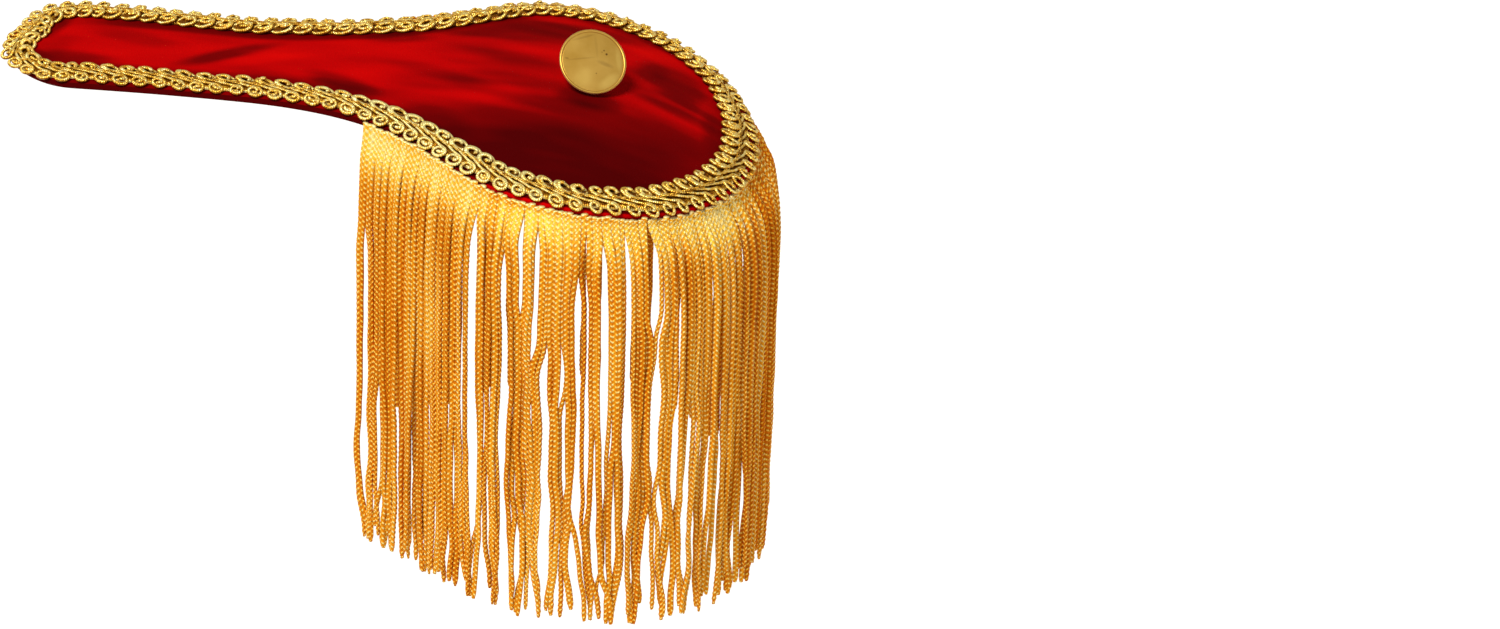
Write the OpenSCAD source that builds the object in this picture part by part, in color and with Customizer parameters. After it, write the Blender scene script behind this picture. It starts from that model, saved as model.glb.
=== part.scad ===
// A shoulder epaulette: a stiff velvet board edged with scroll gimp, a chainette fringe
// round its wide end, a button and the bar pin under it.
// X runs from the tongue's tip to the wide end, Y to the back, Z up. The origin is on the
// board's underside, where the pin bar goes through the cloth of the shoulder.

/* [Board] */
// Length from the tongue's tip to the middle of the wide end
board_len = 216.7; // [200:0.1:235]
// Thickness of the covered board
board_t = 1.8; // [1.4:0.1:3]
// Length of the tongue's rounded tip
tip_len = 24; // [18:0.1:28]
// Width of the tongue behind its tip
tongue_w = 49.6; // [44:0.1:54]
// Distance from the tip to the neck
neck_x = 62.7; // [56:0.1:72]
// Width at the neck, the narrowest place
neck_w = 48.4; // [44:0.1:54]
// Distance from the tip to the widest place
wide_x = 164.4; // [155:0.1:175]
// Width at the widest place
wide_w = 120; // [108:1:128]
// Radius of the arch across the board
arch_r = 294; // [240:1:400]
// Distance from the tip to where the board starts to droop
droop_x = 136.3; // [125:0.1:150]
// Radius of the droop towards the wide end
droop_r = 166; // [150:1:220]

/* [Gimp braid] */
// Width of the gimp over both rows of ringlets
gimp_w = 9.4; // [7:0.1:10]
// Height of the plait above the velvet
plait_h = 2; // [1.2:0.1:2.6]
// Height of the ringlets above the velvet
ringlet_h = 1.8; // [1:0.1:2.2]
// Distance between ringlets along the gimp
ringlet_pitch = 5.55; // [4.5:0.05:7]
// How far a ringlet stands out past the gap between two
scallop = 0.9; // [0.4:0.1:1.4]
// Distance of the gimp from the board's edge
gimp_inset = 0.2; // [0:0.1:1.5]
// How much further out the gimp lies at the tongue's tip
tip_out = 0.8; // [0:0.1:1.5]

/* [Fringe] */
// Length of the cords below the board
fringe_len = 130; // [90:1:150]
// Distance from the tip to where the fringe starts, front and back
fringe_x = 109.7; // [95:0.1:125]
// Thickness of the fringe
fringe_t = 2; // [1.5:0.1:3]
// How far the cords bow out past the board's edge at the front and the back
fringe_bow = 4.2; // [3:0.1:8]
// Extra bow at the middle of the wide end
end_bow = 3.2; // [0:0.1:4]
// Width of the heading tape under the board
heading_w = 9; // [7:0.1:12]
// Thickness of the heading tape
heading_t = 1.2; // [0.8:0.1:2]
// How far the heading tape stands out past the board's edge, into the cords
heading_out = 0.6; // [0.4:0.1:1]
// Number of locks that the cords fall into
lock_count = 62; // [40:1:70]
// Share of its pitch that a lock fills
lock_fill = 0.86; // [0.7:0.01:0.95]
// How far the locks' ends differ from the fringe's length
uneven = 3; // [0:0.1:5]
// How much longer the cords hang at the fringe's two ends
end_drop = 4; // [0:0.5:8]
// How far a lock drifts sideways on its way down
drift = 0.3; // [0:0.1:0.6]

/* [Button] */
// Distance from the tip to the button
button_x = 169.7; // [160:0.1:176]
// Diameter over the button's rim
button_d = 19.6; // [15:0.1:22]
// Thickness of the button's shell
button_t = 1.8; // [1.4:0.1:2.4]
// Radius of the rolled rim's wire
rim_r = 0.6; // [0.45:0.05:1]
// Height of the button's dome above its shell
dome_h = 0.3; // [0.2:0.1:1.2]
// Diameter of the shank
shank_d = 3; // [2.4:0.1:4]
// Gap between the lowest place of the button's rim and the velvet
rim_clear = 1.4; // [1:0.1:3]
// Angle that the button's face leans back from upright
button_lean = 46; // [30:1:55]
// Angle that the button's face is turned towards the wide end
button_turn = 24; // [-10:1:30]

/* [Pin bar] */
// Distance from the tip to the middle of the pin bar
pin_x = 108.7; // [95:0.1:118]
// Length of the pin bar's plate
bar_len = 38; // [30:1:46]
// Width of the plate
bar_w = 7; // [5:0.1:9]
// Thickness of the plate
bar_t = 0.9; // [0.7:0.1:1.4]
// Thickness of the pin
pin_d = 1.2; // [0.9:0.1:1.6]
// Gap between the plate and the pin
pin_gap = 2.6; // [2:0.1:4]

/* [Hidden] */
// Gap between pieces that are sewn to each other
sewn_gap = 0.15;
// Gap between the straight-sided locks and the board's round edge
edge_gap = 0.25;
// Steps along each curve of the board's outline
curve_steps = 14;

// Handles of the outline's curves, as shares of their reach: the tongue's tip, the level
// stretch at the neck, the swell from the neck to the widest place, and the wide end
tip_handle = 0.5;
neck_handle = 0.45;
swell_handles = [0.69, 0.356];
end_handle = 0.565;

// The crown is the height of the top of the board above the origin
crown = board_t;
half_tongue = tongue_w / 2;
half_neck = neck_w / 2;
half_wide = wide_w / 2;
swell = wide_x - neck_x;

// A point of a cubic curve with control points p, at t from 0 to 1
function cubic(p, t) =
    pow(1 - t, 3) * p[0] + 3 * pow(1 - t, 2) * t * p[1]
    + 3 * (1 - t) * t * t * p[2] + pow(t, 3) * p[3];
function curve(p, first = 1) = [for (i = [first : curve_steps]) cubic(p, i / curve_steps)];

// Half of the outline, from the tip to the middle of the wide end: distance from the tip
// and half width
half_outline = concat(
    curve([[0, 0], [0, tip_handle * half_tongue],
        [tip_len * (1 - tip_handle), half_tongue], [tip_len, half_tongue]], 0),
    curve([[tip_len, half_tongue], [tip_len + neck_handle * (neck_x - tip_len), half_tongue],
        [neck_x - neck_handle * (neck_x - tip_len), half_neck], [neck_x, half_neck]]),
    curve([[neck_x, half_neck], [neck_x + swell_handles[0] * swell, half_neck],
        [wide_x - swell_handles[1] * swell, half_wide], [wide_x, half_wide]]),
    curve([[wide_x, half_wide], [wide_x + end_handle * (board_len - wide_x), half_wide],
        [board_len, end_handle * half_wide], [board_len, 0]]));
last = len(half_outline) - 1;

// Distance along the outline from the tip to each of its points
function run(i, so_far = 0, at = 0) =
    at == i ? so_far : run(i, so_far + norm(half_outline[at + 1] - half_outline[at]), at + 1);
half_run = [for (i = [0 : last]) run(i)];
half_loop = half_run[last];
loop_len = 2 * half_loop;
run_to_x = [for (i = [0 : last]) [half_run[i], half_outline[i][0]]];
run_to_y = [for (i = [0 : last]) [half_run[i], half_outline[i][1]]];
x_to_run = [for (i = [0 : last]) [half_outline[i][0], half_run[i]]];

// The edge at a distance s along the loop, which goes from the tip down the front to the
// wide end and back along the back
function folded(s) = s <= half_loop ? s : loop_len - s;
function edge(s) = [lookup(folded(s), run_to_x) - pin_x,
    (s <= half_loop ? -1 : 1) * lookup(folded(s), run_to_y)];
function wrapped(s) = s < 0 ? s + loop_len : s >= loop_len ? s - loop_len : s;
feeler = 2.5;
function along(s) = let (d = edge(wrapped(s + feeler)) - edge(wrapped(s - feeler))) d / norm(d);
function inward(s) = let (t = along(s)) [-t[1], t[0]];

// Height of the board's top, lowered by depth: an arch across, swung down along the droop
function arch(y, depth) = sqrt(pow(arch_r - depth, 2) - y * y) - arch_r;
function top_z(p, depth = 0) =
    let (past = max(0, p[0] + pin_x - droop_x), reach = droop_r + arch(p[1], depth))
    crown - droop_r + sqrt(reach * reach - past * past);
// A point h above the velvet, d inward from the edge at s, along the board's own normal
function slope(p, depth) =
    let (e = 0.5) [top_z(p + [e, 0], depth) - top_z(p - [e, 0], depth),
        top_z(p + [0, e], depth) - top_z(p - [0, e], depth)] / (2 * e);
function raised(s, d, h, depth = 0) =
    let (p = edge(s) + d * inward(s), g = slope(p, depth), n = [-g[0], -g[1], 1] / norm([g[0], g[1], 1]))
    [p[0], p[1], top_z(p, depth)] + h * n;

// Faces of a ring of m points swept through n places, closed on itself or capped
function swept_faces(n, m, closed) = concat(
    [for (i = [0 : (closed ? n : n - 1) - 1], j = [0 : m - 1], half = [0, 1])
        let (a = i * m + j, b = i * m + (j + 1) % m, c = (i + 1) % n * m + j,
            d = (i + 1) % n * m + (j + 1) % m)
        half == 0 ? [a, b, c] : [b, d, c]],
    closed ? [] : [[for (j = [m - 1 : -1 : 0]) j], [for (j = [0 : m - 1]) (n - 1) * m + j]]);

// Convex solid round a list of points
module around(points) hull() polyhedron(points, [[for (i = [0 : len(points) - 1]) i]]);

// Section of the arched board, at droop_r from the axis that the droop swings on
module arch_section() {
    intersection() {
        translate([droop_r - arch_r, 0]) difference() {
            circle(r = arch_r, $fn = 360);
            circle(r = arch_r - board_t, $fn = 360);
        }
        translate([droop_r - half_wide / 3, -half_wide - 1]) square([half_wide, wide_w + 2]);
    }
}

module board() {
    // Whole degrees, past the wide end
    droop_angle = ceil(asin((board_len - droop_x) / (droop_r - board_t)) + 6);
    color([0.62, 0.02, 0.03]) intersection() {
        translate([-pin_x, 0, -half_wide]) linear_extrude(wide_w)
            polygon(concat(half_outline, [for (i = [last - 1 : -1 : 1])
                [half_outline[i][0], -half_outline[i][1]]]));
        union() {
            translate([-pin_x - 1, 0, crown - droop_r]) rotate([0, -90, 180])
                linear_extrude(droop_x + 1) arch_section();
            translate([droop_x - pin_x, 0, crown - droop_r]) rotate([-90, -90, 0])
                rotate_extrude(angle = droop_angle, $fn = 360) arch_section();
        }
    }
}

// Section of the gimp: distance across it as a share of its width, height as a share of
// the ringlets' and of the plait's, and how much of the scallop each point takes
gimp_section = [
    // across, of ringlet height, of plait height, of scallop
    [0.00, 0.0, 0.0, 1],
    [0.07, 1.0, 0.0, 1],
    [0.30, 0.3, 0.3, 0],
    [0.50, 0.0, 1.0, 0],
    [0.70, 0.3, 0.3, 0],
    [0.93, 1.0, 0.0, -1],
    [1.00, 0.0, 0.0, -1]];
ringlet_count = round(loop_len / ringlet_pitch);
rings_a_ringlet = 4;

module gimp_braid() {
    ring_count = ringlet_count * rings_a_ringlet;
    // Between two ringlets the gimp's edge draws in and sinks by this share of its height
    sink = 0.4;
    function between(i) = (1 - cos(360 * i / rings_a_ringlet)) / 2;
    points = [for (i = [0 : ring_count - 1], row = gimp_section)
        let (s = i * loop_len / ring_count, in = between(i),
            inset = gimp_inset - tip_out * max(0, 1 - folded(s) / tip_len),
            across = inset + row[0] * gimp_w + row[3] * scallop * in,
            up = row[1] * ringlet_h * (1 - sink * in * abs(row[3])) + row[2] * plait_h)
        raised(s, across, sewn_gap + up)];
    color([0.72, 0.58, 0.22]) polyhedron(points, swept_faces(ring_count, len(gimp_section), true));
}

// The fall of a lock, which is sewn on the face of the board's edge: distance out from there
// as a share of the bow, and drop below the board's underside as a share of the board's
// thickness in the first row, of the heading's in the second and of the fringe's length in
// the rest
heading_rows = 2;
lock_fall = [
    // out, drop
    [0.00, -0.70],
    [0.00, 0.90],
    [0.26, 0.030],
    [0.70, 0.080],
    [1.00, 0.220],
    [0.99, 0.600],
    [0.93, 1.000]];
fringe_from = lookup(fringe_x, x_to_run);
fringe_run = loop_len - 2 * fringe_from;
lock_pitch = fringe_run / lock_count;

// A number from -1 to 1 for each lock that looks like chance
function chance(i, k) = sin(1000 * sin(i * 47 + k * 113));
// 0 at the two ends of the fringe, 1 at the middle of the wide end
function end_share(s) = pow(sin(180 * (s - fringe_from) / fringe_run), 2);
// How much the bow differs from lock to lock
bow_change = 0.5;

module fringe() {
    tape_top = sewn_gap;
    tape_rings = lock_count;
    // Height of the board's underside at the edge
    function under(s) = top_z(edge(s), board_t);
    // A lock is as thick as the heading where it starts
    function thick(k) = k == 0 ? heading_t : fringe_t;
    // Where a lock's side lies at one row of its fall: along the loop, out from the edge, up
    function place(i, k, side) =
        let (row = lock_fall[k], sewn = edge_gap + thick(k) / 2,
            s = fringe_from + (i + 0.5 + side * lock_fill / 2) * lock_pitch
                + drift * chance(i, 3) * (k < heading_rows ? 0 : row[1]),
            bow = fringe_bow + end_bow * end_share(s) + bow_change * chance(i, 1),
            long = fringe_len + uneven * (chance(i, 2) - 1) / 2
                + end_drop * pow(1 - end_share(s), 3))
        [s, sewn + (bow - sewn) * row[0],
            under(s) - tape_top - (k == 0 ? board_t : k < heading_rows ? heading_t : long) * row[1]];
    // The way that the lock runs there, out and up
    function lean(i, k) =
        let (a = place(i, max(k - 1, 0), 0), b = place(i, min(k + 1, len(lock_fall) - 1), 0),
            d = [b[1] - a[1], b[2] - a[2]])
        d / norm(d);
    // A corner of the lock's section
    function corner(i, k, side, face) =
        let (p = place(i, k, side), n = lean(i, k), t = face * thick(k) / 2,
            out = p[1] - t * n[1], q = edge(p[0]) - out * inward(p[0]))
        [q[0], q[1], p[2] + t * n[0]];
    function section(i, k) = [for (c = [[-1, -1], [-1, 1], [1, 1], [1, -1]]) corner(i, k, c[0], c[1])];
    color([0.93, 0.62, 0.18]) union() {
        polyhedron([for (i = [0 : tape_rings],
            c = [[-heading_out, 0], [heading_w, 0], [heading_w, 1], [-heading_out, 1]])
                raised(fringe_from + i * fringe_run / tape_rings, c[0],
                    -tape_top - c[1] * heading_t, board_t)],
            swept_faces(tape_rings + 1, 4, false));
        for (i = [0 : lock_count - 1], k = [0 : len(lock_fall) - 2])
            around(concat(section(i, k), section(i, k + 1)));
    }
}

module button() {
    // The face stands in front of the shank, and its middle a little behind the board's centre line
    shank_step = [-0.6, 2.4];
    face_step = 2.2;
    axis = [sin(button_turn) * cos(button_lean), -cos(button_turn) * cos(button_lean), sin(button_lean)];
    button_h = button_d / 2 * cos(button_lean) + rim_clear;
    spot = [button_x - pin_x, face_step];
    middle = [spot[0], spot[1], top_z(spot) + button_h];
    back = middle - axis * (button_t + rim_r);
    foot_xy = [back[0], back[1]] + shank_step;
    // The foot's end is square to the shank, so it is lifted by what its rim hangs down
    foot_lift = 0.2 * shank_d;
    foot = [foot_xy[0], foot_xy[1], top_z(foot_xy) + sewn_gap + foot_lift];
    stem = back - foot;
    dome_ball = (pow(button_d / 2 - rim_r, 2) + dome_h * dome_h) / (2 * dome_h);
    color([0.78, 0.62, 0.26]) union() {
        translate(middle) rotate([0, 90 - button_lean, button_turn - 90]) translate([0, 0, -button_t]) {
            cylinder(h = button_t, r = button_d / 2 - rim_r, $fn = 96);
            translate([0, 0, button_t - rim_r]) rotate_extrude($fn = 96)
                translate([button_d / 2 - rim_r, 0]) circle(r = rim_r, $fn = 32);
            intersection() {
                translate([0, 0, button_t + dome_h - dome_ball]) sphere(r = dome_ball, $fn = 192);
                translate([0, 0, button_t / 2]) cylinder(h = button_t + dome_h, r = button_d / 2 - rim_r, $fn = 96);
            }
            translate([0, 0, -rim_r]) cylinder(h = button_t, r = shank_d, $fn = 48);
        }
        translate(foot) rotate([0, acos(stem[2] / norm(stem)), atan2(stem[1], stem[0])])
            cylinder(h = norm(stem), r = shank_d / 2, $fn = 48);
    }
}

module pin_bar() {
    plate_top = -sewn_gap;
    pin_z = plate_top - bar_t - pin_gap - pin_d / 2;
    end_x = bar_len / 2 - bar_w / 2;
    knuckle_d = 2.2 * pin_d;
    color([0.75, 0.74, 0.70]) union() {
        translate([0, 0, plate_top - bar_t]) {
            translate([-end_x, -bar_w / 2, 0]) cube([2 * end_x, bar_w, bar_t]);
            for (side = [-1, 1]) translate([side * end_x, 0, 0]) cylinder(h = bar_t, d = bar_w, $fn = 48);
        }
        // The ear that the pin is coiled round, and the catch that its point lies in
        for (side = [-1, 1]) translate([side * end_x - knuckle_d / 2, -bar_w / 4, pin_z - knuckle_d / 2])
            cube([knuckle_d, bar_w / 2, plate_top - bar_t / 2 - pin_z + knuckle_d / 2]);
        translate([-end_x, 0, pin_z]) rotate([0, 90, 0]) cylinder(h = 2 * end_x, d = pin_d, $fn = 32);
    }
}

board();
gimp_braid();
fringe();
button();
pin_bar();
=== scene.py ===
import math
import bpy
import bmesh
import numpy as np
from mathutils import Matrix


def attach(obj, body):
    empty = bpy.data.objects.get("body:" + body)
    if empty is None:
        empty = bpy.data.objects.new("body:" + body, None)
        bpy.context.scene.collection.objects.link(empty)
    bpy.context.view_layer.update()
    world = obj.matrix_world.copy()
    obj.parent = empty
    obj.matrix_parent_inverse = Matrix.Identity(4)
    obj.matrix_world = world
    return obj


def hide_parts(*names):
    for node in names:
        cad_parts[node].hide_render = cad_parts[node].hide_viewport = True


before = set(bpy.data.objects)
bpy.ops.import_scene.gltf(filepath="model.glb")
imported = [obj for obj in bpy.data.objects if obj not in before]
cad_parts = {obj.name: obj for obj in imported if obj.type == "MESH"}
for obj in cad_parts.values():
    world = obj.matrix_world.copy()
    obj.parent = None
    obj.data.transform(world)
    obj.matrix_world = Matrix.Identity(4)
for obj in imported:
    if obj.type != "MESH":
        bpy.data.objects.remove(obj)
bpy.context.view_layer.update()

# The board. A stiff shoulder board 1.8 mm thick, arched across and drooping at its wide end, with
# red velvet drawn over its rounded edge and glued down. The gimp and the fringe are sewn to it.
# Lengths are in millimetres, in the frame of the CAD model, and become metres in make_piece.
board_len = 216.7
board_t = 1.8
tip_len = 24.0
half_tongue = 24.8
neck_x = 62.7
half_neck = 24.2
wide_x = 164.4
half_wide = 60.0
arch_r = 294.0
droop_x = 136.3
droop_r = 166.0
pin_x = 108.7
# How far what is sewn to the board lies from it
sewn_gap = 0.15
# The tongue's tip is lifted a little: not at all from lift_end on, and fully lift_run nearer the tip
tip_lift = 0.8
lift_end = 74.0
lift_run = 45.0
# The handles of the outline's curves, as shares of their stretch: at the tip, between the tip's
# end and the neck, from the neck to the widest place, and round the wide end
tip_handle = 0.5
neck_handle = 0.45
swell_handles = 0.69, 0.356
end_handle = 0.565


def cubic(p, steps):
    """Points of a cubic curve at even steps: the control points, each times its weight."""
    t = np.linspace(0, 1, steps + 1)[:, None]
    p = np.array(p)
    return (1 - t) ** 3 * p[0] + 3 * (1 - t) ** 2 * t * p[1] + 3 * (1 - t) * t * t * p[2] + t ** 3 * p[3]


swell = wide_x - neck_x
half_outline = np.vstack([
    cubic([[0, 0], [0, tip_handle * half_tongue],
           [tip_handle * tip_len, half_tongue], [tip_len, half_tongue]], 60),
    cubic([[tip_len, half_tongue], [tip_len + neck_handle * (neck_x - tip_len), half_tongue],
           [neck_x - neck_handle * (neck_x - tip_len), half_neck], [neck_x, half_neck]], 60)[1:],
    cubic([[neck_x, half_neck], [neck_x + swell_handles[0] * swell, half_neck],
           [wide_x - swell_handles[1] * swell, half_wide], [wide_x, half_wide]], 80)[1:],
    cubic([[wide_x, half_wide], [wide_x + end_handle * (board_len - wide_x), half_wide],
           [board_len, end_handle * half_wide], [board_len, 0]], 80)[1:]])
half_run = np.r_[0, np.cumsum(np.hypot(*np.diff(half_outline, axis=0).T))]
half_loop = half_run[-1]
loop_len = 2 * half_loop


def edge(s):
    """The board's edge at a distance s along the loop: from the tip down the front, and back
    along the back."""
    s = np.mod(s, loop_len)
    folded = np.where(s <= half_loop, s, loop_len - s)
    x = np.interp(folded, half_run, half_outline[:, 0]) - pin_x
    y = np.interp(folded, half_run, half_outline[:, 1]) * np.where(s <= half_loop, -1, 1)
    return np.stack([x, y], -1)


def along(s):
    """The way that the edge runs at s, as a level unit vector: from 1.5 mm behind to 1.5 mm
    ahead."""
    d = edge(s + 1.5) - edge(s - 1.5)
    return d / np.linalg.norm(d, axis=-1, keepdims=True)


def inward(s):
    """The level unit vector square to the edge, towards the middle of the board."""
    t = along(s)
    return np.stack([-t[..., 1], t[..., 0]], -1)


def smooth(t):
    """A step from 0 to 1 with level ends: 3 t squared less 2 t cubed."""
    t = np.clip(t, 0, 1)
    return t * t * (3 - 2 * t)


def top_z(p, depth=0.0):
    """Height of the board's top, lowered by depth: an arch across, swung down along the droop,
    and lifted a little towards the tongue's tip."""
    reach = droop_r + np.sqrt((arch_r - depth) ** 2 - p[..., 1] ** 2) - arch_r
    from_tip = p[..., 0] + pin_x
    past = np.maximum(0, from_tip - droop_x)
    lift = tip_lift * smooth((lift_end - from_tip) / lift_run)
    return board_t - droop_r + np.sqrt(reach ** 2 - past ** 2) + lift


def board_normal(p, depth=0.0):
    """The unit normal of the board, from the height's slope over 1 mm each way."""
    step = np.eye(2) * 0.5
    gx = top_z(p + step[0], depth) - top_z(p - step[0], depth)
    gy = top_z(p + step[1], depth) - top_z(p - step[1], depth)
    n = np.stack([-gx, -gy, np.ones_like(gx)], -1)
    return n / np.linalg.norm(n, axis=-1, keepdims=True)


def raised(s, across, up, depth=0.0):
    """The point that lies across from the edge at s, and up from the velvet along its normal."""
    s, across, up = np.broadcast_arrays(s, across, up)
    p = edge(s) + across[..., None] * inward(s)
    z = top_z(p, depth)
    return np.concatenate([p, z[..., None]], -1) + up[..., None] * board_normal(p, depth)


def make_piece(name, rings, finish, lengths=None, tone=None, ends="capped", round_shut=True,
               merge=False):
    """Strips of quads over grids of points. rings holds strips x rings x points round x xyz in
    millimetres. Each ring is shut on itself unless round_shut is false, and a strip's ends are
    capped, or joined where ends is "joined". lengths gives each ring's place along its strip,
    for the UV map, and tone a number for each strip, or for each point. merge joins points that
    lie at one place, as at a pole."""
    strips, n, m, _ = rings.shape
    rows = n if ends == "joined" else n - 1
    i, j = np.meshgrid(np.arange(rows), np.arange(m if round_shut else m - 1), indexing="ij")
    corner_row = np.stack([i, i, i + 1, i + 1], -1).reshape(-1, 4)
    corner_col = np.stack([j, j + 1, j + 1, j], -1).reshape(-1, 4)
    quads = corner_row % n * m + corner_col % m
    first = np.arange(strips)[:, None, None] * n * m
    loops = [(quads[None] + first).ravel()]
    totals = [np.full(strips * len(quads), 4)]
    if ends == "capped":
        caps = np.stack([np.arange(m)[::-1], (n - 1) * m + np.arange(m)])
        loops.append((caps[None] + first).ravel())
        totals.append(np.full(2 * strips, m))
    loops, totals = np.concatenate(loops), np.concatenate(totals)
    mesh = bpy.data.meshes.new(name)
    mesh.vertices.add(strips * n * m)
    mesh.vertices.foreach_set("co", (rings * 0.001).astype(np.float32).ravel())
    mesh.loops.add(len(loops))
    mesh.loops.foreach_set("vertex_index", loops.astype(np.int32))
    mesh.polygons.add(len(totals))
    starts = np.r_[0, np.cumsum(totals)[:-1]]
    mesh.polygons.foreach_set("loop_start", starts.astype(np.int32))
    mesh.polygons.foreach_set("loop_total", totals.astype(np.int32))
    if lengths is not None:
        lengths = np.broadcast_to(lengths, (strips, n))
        uv = np.zeros((len(loops), 2), np.float32)
        body = uv[:strips * len(quads) * 4].reshape(strips, -1, 4, 2)
        body[..., 0] = corner_col / m
        body[..., 1] = lengths[:, corner_row.ravel() % n].reshape(strips, -1, 4)
        mesh.uv_layers.new(name="wrap").data.foreach_set("uv", uv.ravel())
    if tone is not None:
        values = np.broadcast_to(tone, (strips, n, m)).astype(np.float32)
        mesh.attributes.new("tone", "FLOAT", "POINT").data.foreach_set("value", values.ravel())
    mesh.update(calc_edges=True)
    mesh.validate()
    mesh.polygons.foreach_set("use_smooth", np.ones(len(mesh.polygons), bool))
    if merge:
        shell = bmesh.new()
        shell.from_mesh(mesh)
        bmesh.ops.remove_doubles(shell, verts=shell.verts, dist=2e-6)
        shell.to_mesh(mesh)
        shell.free()
    mesh.materials.append(finish)
    piece = bpy.data.objects.new(name, mesh)
    bpy.context.collection.objects.link(piece)
    return piece


class Finish:
    """A material built a node at a time. A value that is a socket is linked, others are set."""

    def __init__(self, name):
        self.material = bpy.data.materials.new(name)
        self.material.use_nodes = True
        self.nodes = self.material.node_tree.nodes
        self.links = self.material.node_tree.links
        self.shader = self.nodes["Principled BSDF"]

    def put(self, node, sockets):
        """Sets or links the sockets of a node."""
        for key, value in sockets.items():
            if isinstance(value, bpy.types.NodeSocket):
                self.links.new(value, node.inputs[key])
            else:
                node.inputs[key].default_value = value
        return node

    def add(self, kind, sockets=None, **settings):
        """A new node of a kind, with its settings made before its sockets."""
        node = self.nodes.new("ShaderNode" + kind)
        for key, value in settings.items():
            setattr(node, key, value)
        return self.put(node, sockets or {})

    def calc(self, operation, a, b=0.0, c=0.0):
        """One step of arithmetic on up to three numbers."""
        return self.add("Math", {0: a, 1: b, 2: c}, operation=operation).outputs[0]

    def noise(self, place, scale, detail=2.0, stretch=(1, 1, 1), turn=(0, 0, 0)):
        """Soft chance from 0 to 1, with scale waves a metre, after a stretch and a turn."""
        where = self.add("Mapping", {"Vector": place, "Scale": stretch, "Rotation": turn}).outputs[0]
        found = self.add("TexNoise", {"Vector": where, "Scale": scale, "Detail": detail})
        return found.outputs["Fac"]

    def ramp(self, value, stops):
        """Colours between stops of value and colour. The first two stops are the outer ones."""
        node = self.add("ValToRGB", {"Fac": value})
        marks = node.color_ramp.elements
        for k, (at, colour) in enumerate(stops):
            mark = marks[k] if k < 2 else marks.new(at)
            mark.position, mark.color = at, (*colour, 1)
        return node.outputs["Color"]

    def mix(self, share, a, b):
        """Colour a, with a share of colour b."""
        node = self.add("Mix", {0: share}, data_type="RGBA")
        for socket, value in ((node.inputs[6], a), (node.inputs[7], b)):
            if isinstance(value, bpy.types.NodeSocket):
                self.links.new(value, socket)
            else:
                socket.default_value = (*value, 1)
        return node.outputs[2]

    def spot(self, place, middle, size, turn):
        """A soft spot: one at its middle, nothing beyond size, which holds its half lengths."""
        where = self.add("Mapping", {"Vector": place, "Location": middle, "Rotation": turn,
                                     "Scale": size}, vector_type="TEXTURE").outputs[0]
        ball = self.add("TexGradient", {"Vector": where}, gradient_type="SPHERICAL").outputs["Fac"]
        return self.step(ball, 0.0, 0.75)

    def step(self, value, start, end):
        """A smooth step: nothing up to start, one from end on."""
        return self.add("MapRange", {0: value, 1: start, 2: end},
                        interpolation_type="SMOOTHSTEP").outputs[0]

    def tone(self):
        """The number that make_piece keeps for each point."""
        return self.add("Attribute", attribute_name="tone").outputs["Fac"]

    def bump(self, height, distance, strength=1.0):
        """Relief on the shader: height from 0 to 1, times distance in metres."""
        node = self.add("Bump", {"Height": height, "Distance": distance, "Strength": strength})
        self.links.new(node.outputs[0], self.shader.inputs["Normal"])


stations = 360
under_rows = 8
roll_r = board_t / 2
edge_s = np.arange(stations) * loop_len / stations
inset = edge(edge_s) + roll_r * inward(edge_s)
out_share = np.linspace(0, 1, 36)
unevenness = 0.10


def board_sheet(shares, depth):
    """Points at shares of the way from the board's middle line to its rolled edge."""
    p = np.stack([np.repeat(inset[:, :1], len(shares), 1), inset[:, 1:] * shares], -1)
    z = top_z(p, depth)
    # The velvet lies a little uneven on its board, as far out as the gimp
    x, y = p[..., 0], p[..., 1]
    swells = np.sin(x / 9 + 1.3 * np.sin(y / 14)) + np.sin(y / 8 - x / 17)
    lift = unevenness * swells * smooth((0.82 - shares) / 0.3) if depth == 0 else 0
    return np.concatenate([p, (z + lift)[..., None]], -1)


roll_turn = np.radians(np.linspace(0, 180, 9))[1:-1]
roll = raised(edge_s[:, None], roll_r * (1 - np.sin(roll_turn)), roll_r * np.cos(roll_turn), roll_r)
board_rings = np.concatenate([board_sheet(out_share, 0.0), roll,
                              board_sheet(np.linspace(1, 0, under_rows), board_t)], 1)

velvet = Finish("red_velvet")
place = velvet.add("TexCoord").outputs["Object"]
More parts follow.
